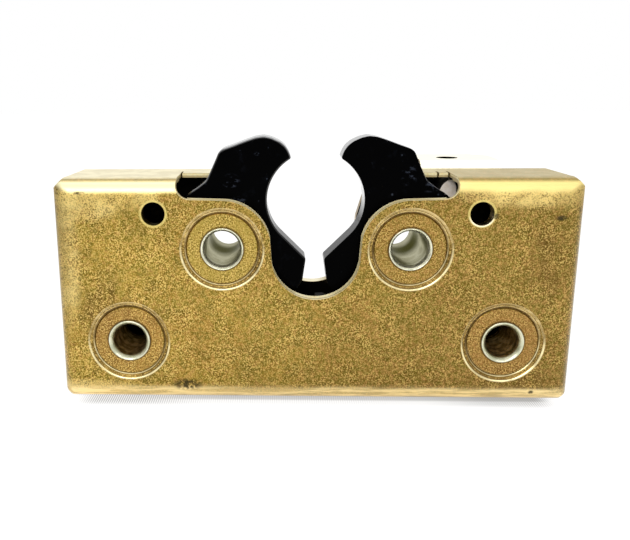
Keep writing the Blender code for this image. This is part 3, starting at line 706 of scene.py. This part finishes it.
def black_coat(at):
    """Glossy black: near black, with faint grey-blue clouds where the coat has rubbed thin, grey-blue
    dots in them that are painted glints, and a few larger painted glints at listed places. The punched
    edges have the thicker, glossier coat: the coat follows how far the surface turns from the face, and
    is less low down."""
    rub = at.noise(0.35, 4.0, 0.6).rise(0.56, 0.72)
    # Painted glints: grey-blue dots where the clouds are.
    glint_dot = at.noise(1.1, 2.0, 0.55).rise(0.64, 0.72)
    glint_cloud = at.times((0.6, 1.0, 1.0)).noise(0.9, 3.0, 0.65).rise(0.52, 0.64)
    colour = layered(
        (rub * 0.3).mix((0.0006, 0.0006, 0.0007), (0.006, 0.007, 0.01)),
        (glint_dot * rub * 0.7, (0.09, 0.11, 0.15)),
        *((at.spot(*area) * glint_cloud * 0.55, (0.05, 0.06, 0.085)) for area in PAINTED_GLINTS),
    )
    height = at.noise(0.8, 3.0, 0.5)
    facing = at.node("ShaderNodeTexCoord", out=1).axis("Y").maths("ABSOLUTE")
    return {
        "Base Color": colour,
        "Roughness": 0.24 + rub * 0.2,
        "Coat Weight": facing.fall(0.6, 0.98) * (0.3 + 0.7 * at.axis("Z").rise(41.0, 47.0)),
        "Normal": bumped(height, 0.03, 0.4),
    }


COAT = {"Specular_IOR_Level": 0.01, "Coat_IOR": 2.6, "Coat_Roughness": 0.14}
BLACK = finish("black_coat", black_coat, Metallic=0.0, **COAT)

rotor_outline = eased(rotor_path(), 0.5)
for side, outline, roll, burr in (
    ("left", rotor_outline, 0.55, 0.12),
    ("right", mirrored(rotor_outline), 0.12, 0.55),
):
    s = -1 if side == "left" else 1
    hole = arc(s * ROTOR_X, ROTOR_Z, SHAFT_HOLE, 360, 0, 73)[1:]
    sections = [edge_section(*LAYER, roll, burr), edge_section(*LAYER, 0.3, 0.3)]
    rotor = smoothed(stamped(f"rotor_{side}_plate", [outline, hole], sections), 40)
    rotor.data.materials.append(BLACK)
    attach(rotor, f"rotor_{side}")
    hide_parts(f"rotor_{side}")

# Pawls. Two punched levers in the rotors' layer. Each has a nose under its rotor's hub, a tail for its
# spring, and an inner end: the left one a round knob, the right one a fork that the knob sits in.

LINK_Z, LINK_R, SOCKET_R = 18.6, 2.2, 2.9
STUD_OUT, STUD_UP = 10.5, 0.7
STUD_X, STUD_Z = PAWL_X - STUD_OUT, PAWL_Z + STUD_UP


def pawl_path(fork):
    """The left pawl in place, anticlockwise: hub, lower edge, link end, nose, upper edge and tail."""
    hub = arc(-PAWL_X, PAWL_Z, 8.0, 160, 310, 40)
    low = [(-28.0, 11.8), (-16.0, 13.6), (-7.0, 14.6)]
    if fork:
        link = [(-4.6, 14.2), (-2.2, 13.7), (-0.3, 14.0), *arc(0, LINK_Z, SOCKET_R, 265, 95, 30)]
        link += [(-0.3, 22.8), (-2.4, 22.9), (-4.8, 21.6)]
    else:
        link = [(-4.2, 16.0), (-3.2, LINK_Z - 1.4), (-1.9, LINK_Z - 1.3)]
        link += [*arc(0, LINK_Z, LINK_R, 215, 505, 40)]
        link += [(-1.9, LINK_Z + 1.3), (-3.2, LINK_Z + 1.4), (-4.6, 20.4)]
    nose = [(-10.0, 20.0), (-16.0, 19.4), (-17.1, 21.9), (-17.9, 22.5), (-19.6, 22.5)]
    nose += [(-20.3, 22.1), (-20.8, 19.8)]
    top = [(-25.5, 18.9), (-31.0, 19.0), (-36.6, 22.4)]
    tail = [(-41.0, 23.0), (-45.2, 25.4), (-48.2, 24.6), (-48.6, 21.6)]
    return np.concatenate([hub, low, link, nose, top, tail])


left_pawl, right_pawl = eased(pawl_path(False), 0.4), mirrored(eased(pawl_path(True), 0.4))
for side, s, outline in (("left", -1, left_pawl), ("right", 1, right_pawl)):
    pawl_loops = [outline, arc(s * PAWL_X, PAWL_Z, SHAFT_HOLE, 360, 0, 73)[1:]]
    if side == "right":
        pawl_loops.append(arc(STUD_X, STUD_Z, 2.3, 360, 0, 41)[1:])
    punched = [edge_section(*LAYER, 0.2, 0.2)] * len(pawl_loops)
    pawl = smoothed(stamped(f"pawl_{side}_plate", pawl_loops, punched), 40)
    # The pawls, inside the cavity, take the painted shade finish.
    pawl.data.materials.append(CAVITY_SHADE)
    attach(pawl, f"pawl_{side}")
    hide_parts(f"pawl_{side}")

# Spacers, pins and springs. A ring on each bushing keeps its rotor or pawl forward, and a wound wire
# spring round the ring hooks on a fixed pin and presses on the piece.

SPRING_PINS = {"rotor_spring_pin": (37.2, 36.8), "pawl_spring_pin": (50.6, 27.2)}
PIN_R, PIN_END_R, PIN_FRONT, PIN_BACK = 2.0, 1.5, 3.3, 18.95
COIL_R, WIRE_R, COIL_FRONT, COIL_BACK = 6.75, 0.5, 11.4, 15.15


def spring_steel(at):
    """Drawn wire: grey with fine streaks and a brown tinge."""
    streak = at.noise(1.5, 3.0, 0.6)
    colour = streak.rise(0.4, 0.6).mix((0.22, 0.21, 0.2), (0.4, 0.38, 0.34))
    return {"Base Color": colour, "Roughness": 0.3 + streak * 0.2, "Normal": bumped(streak, 0.01, 0.3)}


WIRE = finish("spring_steel", spring_steel, Metallic=0.95)


def wire(name, path, radius, count=12):
    """Round wire on a path: at each point a ring of the radius, in the plane of the two directions square
    to the path, the first of them path direction x the depth axis. The end rings close to a point."""
    ahead = np.gradient(path, axis=0)
    ahead /= np.linalg.norm(ahead, axis=1, keepdims=True)
    first = np.cross(ahead, (0, 1, 0))
    first /= np.linalg.norm(first, axis=1, keepdims=True)
    second = np.cross(first, ahead)
    a = np.linspace(0, 2 * np.pi, count, endpoint=False)[None, :, None]
    width = np.full(len(path), radius)
    width[[0, -1]] = 0
    around = np.cos(a) * first[:, None] + np.sin(a) * second[:, None]
    return skin(name, [(path[:, None] + width[:, None, None] * around, False, True)])


def spring_path(x, z, tail, leg_angle, reach):
    """For the left side: from the tail's hook straight to the coil, about three turns at the coil's radius
    that step evenly forward from its back to its front, then straight out to the reach."""
    start = np.degrees(np.arctan2(tail[1] - z, tail[0] + x))
    sweep = 1080 + (leg_angle - start) % 360
    part = np.linspace(0, 1, 200)
    a = np.radians(start + sweep * part)
    depth = COIL_FRONT + (COIL_BACK - COIL_FRONT) * (1 - part)
    coil = np.stack([-x + COIL_R * np.cos(a), depth, z + COIL_R * np.sin(a)], -1)
    end = np.array([-x + reach * np.cos(a[-1]), COIL_FRONT, z + reach * np.sin(a[-1])])
    first = np.array([tail[0], COIL_BACK, tail[1]])
    run = np.linspace(0, 1, 12)[1:, None]
    lead = first + (coil[0] - first) * run[:-1]
    leg = coil[-1] + (end - coil[-1]) * run
    ends = [first, first + (coil[0] - first) * 0.01], [end + (end - coil[-1]) * 0.001]
    return np.concatenate([ends[0], lead, coil, leg, ends[1]])


for side, s in (("left", -1), ("right", 1)):
    for kind, x0, z0 in (("rotor", ROTOR_X, ROTOR_Z), ("pawl", PAWL_X, PAWL_Z)):
        ring = eased(rectangle(SHOULDER_R + 0.2, 5.9, LAYER[1] + 0.3, SHOULDER_BACK), 0.1)
        spacer = smoothed(turned(f"{kind}_spacer_{side}_ring", s * x0, z0, ring, 64))
        spacer.data.materials.append(PALE)
        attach(spacer, "housing")
        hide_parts(f"{kind}_spacer_{side}")
    for name, (x0, z0) in SPRING_PINS.items():
        peg = [(0, PIN_FRONT), (PIN_R, PIN_FRONT), (PIN_R, SHOULDER_BACK)]
        peg += [(PIN_END_R, SHOULDER_BACK), (PIN_END_R, PIN_BACK), (0, PIN_BACK)]
        peg = np.concatenate([peg[:1], eased(peg, 0.1)[4:-4], peg[-1:]])
        pin = smoothed(turned(f"{name}_{side}_peg", s * x0, z0, peg, 32))
        pin.data.materials.append(PALE)
        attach(pin, "housing")
        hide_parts(f"{name}_{side}")
    for kind, x0, z0, tail, leg_angle, reach in (
        ("rotor", ROTOR_X, ROTOR_Z, (-36.7, 33.9), 52, 12.5),
        ("pawl", PAWL_X, PAWL_Z, (-47.7, 28.0), 33, 10.5),
    ):
        path = spring_path(x0, z0, tail, leg_angle, reach) * (-s, 1, 1)
        spring = smoothed(wire(f"{kind}_spring_{side}_coil", path, WIRE_R), 60)
        spring.data.materials.append(WIRE)
        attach(spring, "housing")
        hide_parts(f"{kind}_spring_{side}")

# Back plate. A flat punched plate inside the flanges, with the striker's U, the bushings' holes, a curved
# slot for the lever's stud, and a corner cut away for the lever's lug. Yellow zinc.

SLOT_R = 2.4
u_left = arc(0, U_Z, U_R + 0.2, -90, -180, 24)
u_right = mirrored(u_left)[:-1]
plate_edge, plate_foot, plate_top, plate_lip = WIDTH / 2 - 3.3, 3.3, HEIGHT - 3.3, LIP_Z - 0.3
half_lip = LIP_HALF - 0.6
back_outline = [(-plate_edge, plate_foot), (plate_edge, plate_foot), (plate_edge, plate_top)]
back_outline += [(35.5, plate_top), (34.0, 43.2), (27.0, 39.6), (22.0, 39.2), (18.4, 42.8)]
back_outline += [(18.0, plate_lip), (THROAT, plate_lip), (U_R + 0.5, U_Z + 6), *u_right, *u_left]
back_outline += [(-U_R - 0.2, U_Z + 6), (-THROAT, plate_lip), (-half_lip, plate_lip)]
back_outline += [(-half_lip, plate_top), (-plate_edge, plate_top)]
stud_reach = np.hypot(STUD_OUT, STUD_UP)
slot_low = 180 - np.degrees(np.arctan2(STUD_UP, STUD_OUT)) - 2
slot_high = slot_low + 14
low_end, high_end = (arc(PAWL_X, PAWL_Z, stud_reach, a, a, 1)[0] for a in (slot_low, slot_high))
slot_path = np.concatenate(
    [
        arc(PAWL_X, PAWL_Z, stud_reach + SLOT_R, slot_low, slot_high, 12),
        arc(*high_end, SLOT_R, slot_high, slot_high + 180, 16)[1:-1],
        arc(PAWL_X, PAWL_Z, stud_reach - SLOT_R, slot_high, slot_low, 12),
        arc(*low_end, SLOT_R, slot_low + 180, slot_low + 360, 16)[1:-1],
    ]
)[::-1]
plate_loops = [eased(back_outline, 0.5), slot_path]
plate_loops += [arc(x, z, SHAFT_R + 0.35, 360, 0, 73)[1:] for x, z in PIVOTS]
pin_places = [(s * x, z) for x, z in SPRING_PINS.values() for s in (-1, 1)]
plate_loops += [arc(x, z, PIN_END_R + 0.2, 360, 0, 33)[1:] for x, z in pin_places]
plate_sections = [edge_section(DEPTH - SHEET, DEPTH, 0.15, 0.3)] * len(plate_loops)
plate = smoothed(stamped("back_plate_sheet", plate_loops, plate_sections), 40)
# The back plate's front face, inside the cavity, takes the painted shade finish.
slots_by_face(plate, [ZINC, CAVITY_SHADE], lambda x, y, z, normal: np.where(normal[:, 1] < -0.5, 1, 0))
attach(plate, "housing")
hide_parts("back_plate")

# Release lever. A punched arm on the right lower bushing, behind the back plate. Its ear is bent back
# over the top for the release rod, and a lug is bent forward to show in the mouth's corner. A riveted
# stud in it drives the right pawl.

LEVER = (19.35, 22.35)
EAR_TOP, FOLD_IN = 52.3, 1.5
EAR_HOLE_X, EAR_HOLE_Y, EAR_HOLE_R = 33.0, 27.0, 2.55
fold_out = FOLD_IN + SHEET
fold_z = EAR_TOP - fold_out
arm = np.concatenate(
    [
        arc(PAWL_X, PAWL_Z, 8.2, 170, 370, 48),
        [(47.6, 24.0), (44.6, 36.0), (44.2, fold_z), (25.6, fold_z), (26.6, 46.0), (29.8, 42.5)],
        [(31.0, 36.0), (31.0, 30.0)],
    ]
)
lever = stamped("release_lever_steel", [eased(arm, 0.6)], [edge_section(*LEVER, 0.3, 0.3)])
turns = np.radians(np.linspace(0, 90, 17))
middle = LEVER[0] + fold_out
outer = np.stack([middle - fold_out * np.cos(turns), fold_z + fold_out * np.sin(turns)], -1)
inner_side = np.stack([middle - FOLD_IN * np.cos(turns), fold_z + FOLD_IN * np.sin(turns)], -1)[::-1]
side_path = np.concatenate(
    [
        [(LEVER[0], fold_z - 2.5)],
        outer,
        [(35.9, EAR_TOP), (36.11, EAR_TOP - 0.09), (WHOLE_DEPTH, EAR_TOP - 0.3)],
        [(WHOLE_DEPTH, EAR_TOP - SHEET + 0.2), (36.0, EAR_TOP - SHEET)],
        inner_side,
        [(LEVER[1], fold_z - 2.5)],
    ]
)
cut(lever, box_tool(side_path, 25.6, 44.2, "x"), "UNION")
LUG = [(28.3, 46.4), (29.1, 47.7), (30.4, 48.75), (31.6, 48.6), (32.15, 47.3), (32.0, 45.6)]
LUG += [(31.2, 44.6), (29.8, 45.0)]
lug_path = eased(LUG[::-1], 0.25)
cut(lever, stamped("lug", [lug_path], [edge_section(11.2, LEVER[0] + 1, 0.2, 0.01)]), "UNION")
cut(lever, box_tool([(10.5, 44.0), (11.2, 44.0), (12.7, 49.2), (10.5, 49.2)], 27.0, 34.5, "x"))
for x0, z0, radius, count in ((PAWL_X, PAWL_Z, SHAFT_R + 0.5, 64), (STUD_X, STUD_Z, 1.65, 40)):
    cut(lever, turned("bore", x0, z0, rectangle(0, radius, 18, 24), count))
cut(lever, box_tool(arc(EAR_HOLE_X, EAR_HOLE_Y, EAR_HOLE_R, 0, 360, 49)[:-1], 47, 55))
for corner, slant_end in ((23.0, 28.6), (46.6, 38.6)):
    cut(lever, box_tool([(corner, 30.5), (slant_end, 37.0), (corner, 37.0)], 47, 55))
smoothed(lever, 35)


def painted_lit_lug(at):
    """The lug's sheared end, painted a light pinkish beige as if lit, though it sits in shade, with grey and
    tan mottling.
    """
    cloud = at.noise(0.9, 3.0, 0.6).rise(0.38, 0.62)
    colour = cloud.mix((1.0, 0.9, 0.8), (0.92, 0.8, 0.66))
    return {"Base Color": colour, "Roughness": 0.5 + cloud * 0.1, "Normal": bumped(cloud, 0.03, 0.4)}


# Painted light: the lug's end is coloured light to stand in for light falling on it.
LIT_LUG = finish("painted_lit_lug", painted_lit_lug, Metallic=0.15)


def lever_slots(x, y, z, normal):
    """1 on the lug's end, 2 on the arm's front, the lug's sides and the walls of the ear's hole, else 0."""
    hole = (z > EAR_TOP - SHEET) & (np.hypot(x - EAR_HOLE_X, y - EAR_HOLE_Y) < EAR_HOLE_R + 0.15)
    hole &= np.abs(normal[:, 2]) < 0.5
    front = (y < LEVER[0] + 0.2) & (z < 49)
    lug_end = (y < 13.0) & (normal[:, 1] < -0.7)
    return np.where(lug_end, 1, np.where(hole | front, 2, 0))


# The arm's front, the lug's sides and the ear hole's walls take the painted shade finish.
slots_by_face(lever, [ZINC, LIT_LUG, CAVITY_SHADE], lever_slots)
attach(lever, "lever")
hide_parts("release_lever")

stud_profile = [(0, 4.5), (1.6, 4.5), (2.0, 4.9), (2.0, 19.05), (1.5, 19.05)]
stud_profile += [(1.5, 22.55), (2.3, 22.55), (2.1, 23.15), (0, 23.35)]
stud = smoothed(turned("lever_stud_rivet", STUD_X, STUD_Z, stud_profile, 48))
stud.data.materials.append(PALE)
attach(stud, "lever")
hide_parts("lever_drive_stud")

# Floor, light and camera. A white cloth floor that runs out to plain white, a broad soft lamp over the
# front on each side, a weaker one overhead, and the camera of the photograph, low and looking a little
# down. The surroundings look plain white, but light the latch at half of that.

FLOOR_HALF = 1.6
corners = [(x * FLOOR_HALF, y * FLOOR_HALF, 0) for x, y in ((-1, -1), (1, -1), (1, 1), (-1, 1))]
floor_mesh = bpy.data.meshes.new("floor")
floor_mesh.from_pydata(corners, [], [(0, 1, 2, 3)])
floor = bpy.data.objects.new("floor", floor_mesh)
bpy.context.collection.objects.link(floor)


def rays(tree):
    """1 for a camera ray, 1 for a reflection, and 1 for what either sees or clear glass shows."""
    path = tree.nodes.new("ShaderNodeLightPath")
    kinds = ("Camera", "Glossy", "Transmission")
    by_camera, by_gloss, through = (Tone(tree, path.outputs[f"Is {kind} Ray"]) for kind in kinds)
    return by_camera, by_gloss, by_camera.maths("MAXIMUM", by_gloss).maths("MAXIMUM", through)


def cloth_glow(at, by_camera, by_gloss, seen):
    """The floor's own light: 1 where it is seen, less in reflections near the latch and to the far left,
    and less for the camera in a thin ribbed shadow along the latch's front edge and a faint painted
    shadow line just under that edge, fading out toward the left. The ribs are the sine of the way
    across, and the shadow is strongest toward both ends."""
    x, y = at.axis("X"), at.axis("Y")
    half_x = x.maths("ABSOLUTE")
    front_line = -WHOLE_DEPTH / 2
    before_back = y.fall(front_line + 3.0, front_line + 9.0)
    ribs = 0.12 + ((x * 12.6).maths("SINE") * 0.5 + 0.5) * 0.5
    contact = y.rise(front_line - 3.6, front_line) * before_back * half_x.fall(49.0, 56.0)
    contact = contact * (0.35 + 0.65 * half_x.rise(22.0, 42.0)) * ribs
    # Painted shadow: a faint dark line just behind the front edge, under the latch, fading out to the left.
    painted_foot_shadow = y.rise(front_line + 0.2, front_line + 1.6) * before_back * half_x.fall(50.0, 54.0)
    painted_foot_shadow = painted_foot_shadow * x.rise(-46.0, -20.0) * 0.4
    reflected = (1 - at.spot((0, -4, 0), (88, 42, 10)) * 0.5) * (1 - x.fall(-150.0, -80.0) * 0.6) * 0.7
    strength = seen * (1 - by_gloss * (1 - reflected))
    return strength * (1 - by_camera * contact) * (1 - by_camera * painted_foot_shadow)


cloth = bpy.data.materials.new("floor_cloth")
cloth.use_nodes = True
cloth_tree = cloth.node_tree
cloth_tree.nodes.remove(cloth_tree.nodes["Principled BSDF"])
by_camera, by_gloss, seen = rays(cloth_tree)
floor_place = seen.node("ShaderNodeTexCoord", out=3).times((1000.0, 1000.0, 1000.0))
matt_colour = by_camera.mix((0.82, 0.82, 0.82), (0.12, 0.12, 0.12))
matt = seen.node("ShaderNodeBsdfDiffuse", {}, {"Color": matt_colour})
strength = cloth_glow(floor_place, by_camera, by_gloss, seen)
glow = seen.node("ShaderNodeEmission", {}, {"Color": (1, 1, 1, 1), "Strength": strength})
both = seen.node("ShaderNodeAddShader", {}, {0: matt, 1: glow})
cloth_tree.links.new(both.socket, cloth_tree.nodes["Material Output"].inputs["Surface"])
floor_mesh.materials.append(cloth)

world = bpy.data.worlds.new("studio")
bpy.context.scene.world = world
world.use_nodes = True
by_camera, by_gloss, seen = rays(world.node_tree)
left_sky = seen.node("ShaderNodeTexCoord").axis("X").fall(-0.98, -0.75)
backdrop = (left_sky * by_gloss * 0.8).mix((1.0, 1.0, 1.0), (0.25, 0.23, 0.2))
background = world.node_tree.nodes["Background"]
sky = seen.mix((0.5, 0.5, 0.5), backdrop)
world.node_tree.links.new(sky.socket, background.inputs["Color"])


def standing(axes, place):
    """The matrix that puts an object at a place, with these three directions as its own x, y and z."""
    return Matrix([*np.column_stack([*axes, place]).tolist(), [0, 0, 0, 1]])


AIM = (0, 0, 0.03)
for name, place, glare, wide, tall in (
    ("lamp_left", (-0.11, -0.36, 0.27), 8.0, 0.24, 0.11),
    ("lamp_right", (0.16, -0.36, 0.27), 3.2, 0.24, 0.11),
    ("lamp_top", (0.0, 0.05, 0.55), 1.5, 0.6, 0.25),
):
    light = bpy.data.lights.new(name, "AREA")
    light.shape = "RECTANGLE"
    light.size, light.size_y = wide, tall
    light.energy = glare * wide * tall * np.pi
    from_aim = np.subtract(place, AIM)
    back_axis = from_aim / np.linalg.norm(from_aim)
    side_axis = np.cross((0, 0, 1), back_axis)
    side_axis /= np.linalg.norm(side_axis)
    lamp = bpy.data.objects.new(name, light)
    lamp.matrix_world = standing((side_axis, np.cross(back_axis, side_axis), back_axis), place)
    bpy.context.collection.objects.link(lamp)

YAW, PITCH, ROLL = -0.0337, -0.2367, -0.0061
ahead = np.array([np.sin(YAW) * np.cos(PITCH), np.cos(YAW) * np.cos(PITCH), np.sin(PITCH)])
level = np.array([np.cos(YAW), -np.sin(YAW), 0])
over = np.cross(level, ahead)
right = np.cos(ROLL) * level + np.sin(ROLL) * over
up = -np.sin(ROLL) * level + np.cos(ROLL) * over
lens = bpy.data.cameras.new("camera")
lens.sensor_width, lens.lens = 36.0, 42.0
lens.shift_x, lens.shift_y = 0.1002, -0.0156
lens.clip_start, lens.clip_end = 0.01, 20
camera = bpy.data.objects.new("camera", lens)
camera.matrix_world = standing((right, up, -ahead), (-0.0086, -0.1728, 0.0703))
bpy.context.collection.objects.link(camera)
bpy.context.scene.camera = camera
bpy.context.scene.view_settings.view_transform = "Standard"
